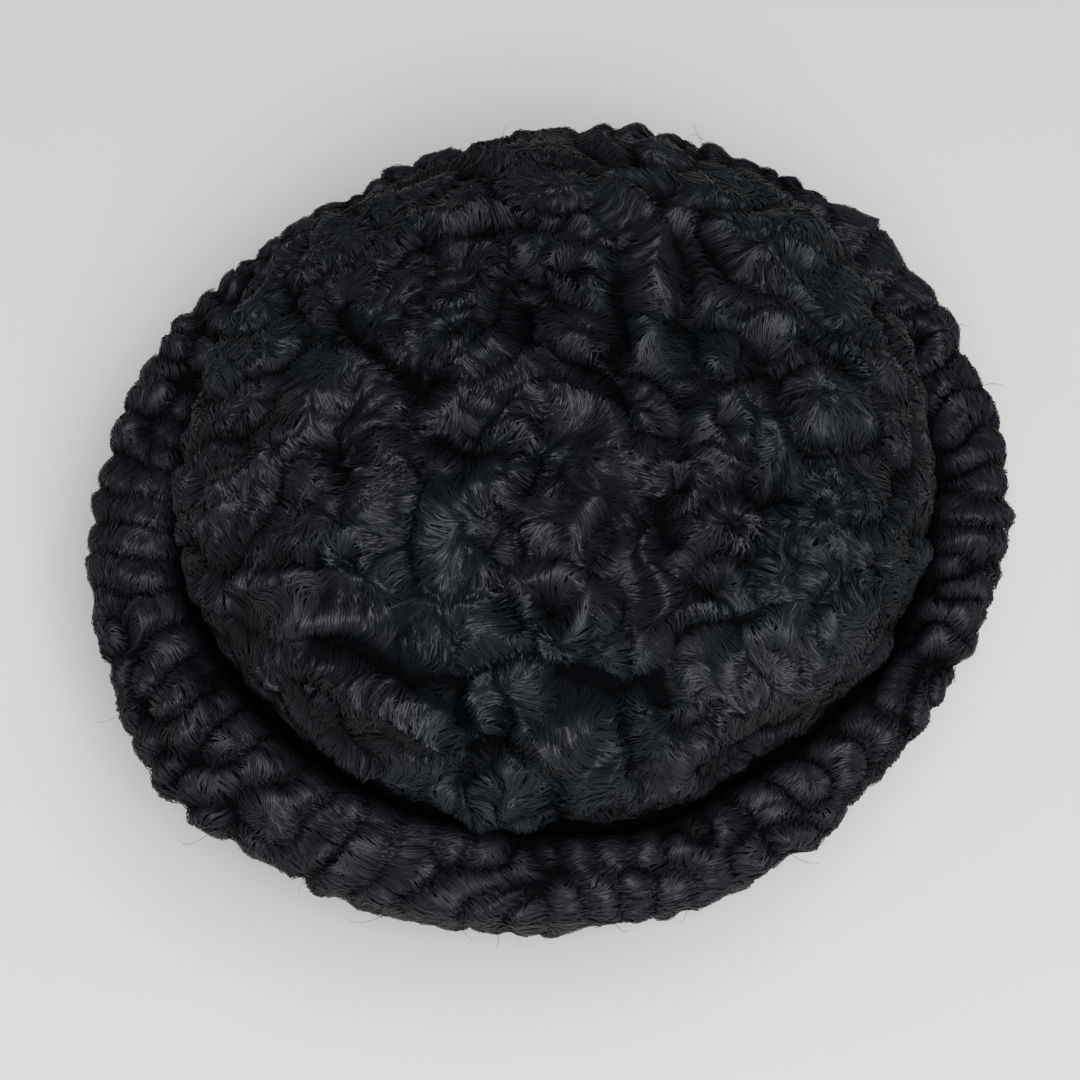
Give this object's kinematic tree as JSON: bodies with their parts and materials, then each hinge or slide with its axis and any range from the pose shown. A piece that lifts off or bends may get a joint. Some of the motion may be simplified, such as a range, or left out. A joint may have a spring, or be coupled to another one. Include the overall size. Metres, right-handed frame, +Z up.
{
  "type": "karakul telpek hat",
  "caption": "Black karakul telpek hat: flared curly side wall with a rolled rim, and a domed crown set into a groove",
  "frame": {"origin": "middle of the hat's box on the flat hem, which is the surface it stands on", "axes": "+Z runs up from the hem to the top of the crown; -Y is the side nearest the viewer in the picture, and +X its right; the slightly oval plan has its long axis about 45 degrees from +X towards +Y"},
  "size_m": [0.2548, 0.253, 0.1465],
  "materials": {
    "karakul_side": "black dyed karakul pelt, pipe curls, silky sheen",
    "karakul_crown": "black dyed karakul pelt, rosettes and waves, silky sheen"
  },
  "bodies": {
    "root": {"side_band": "karakul_side", "crown": "karakul_crown"}
  },
  "joints": []
}
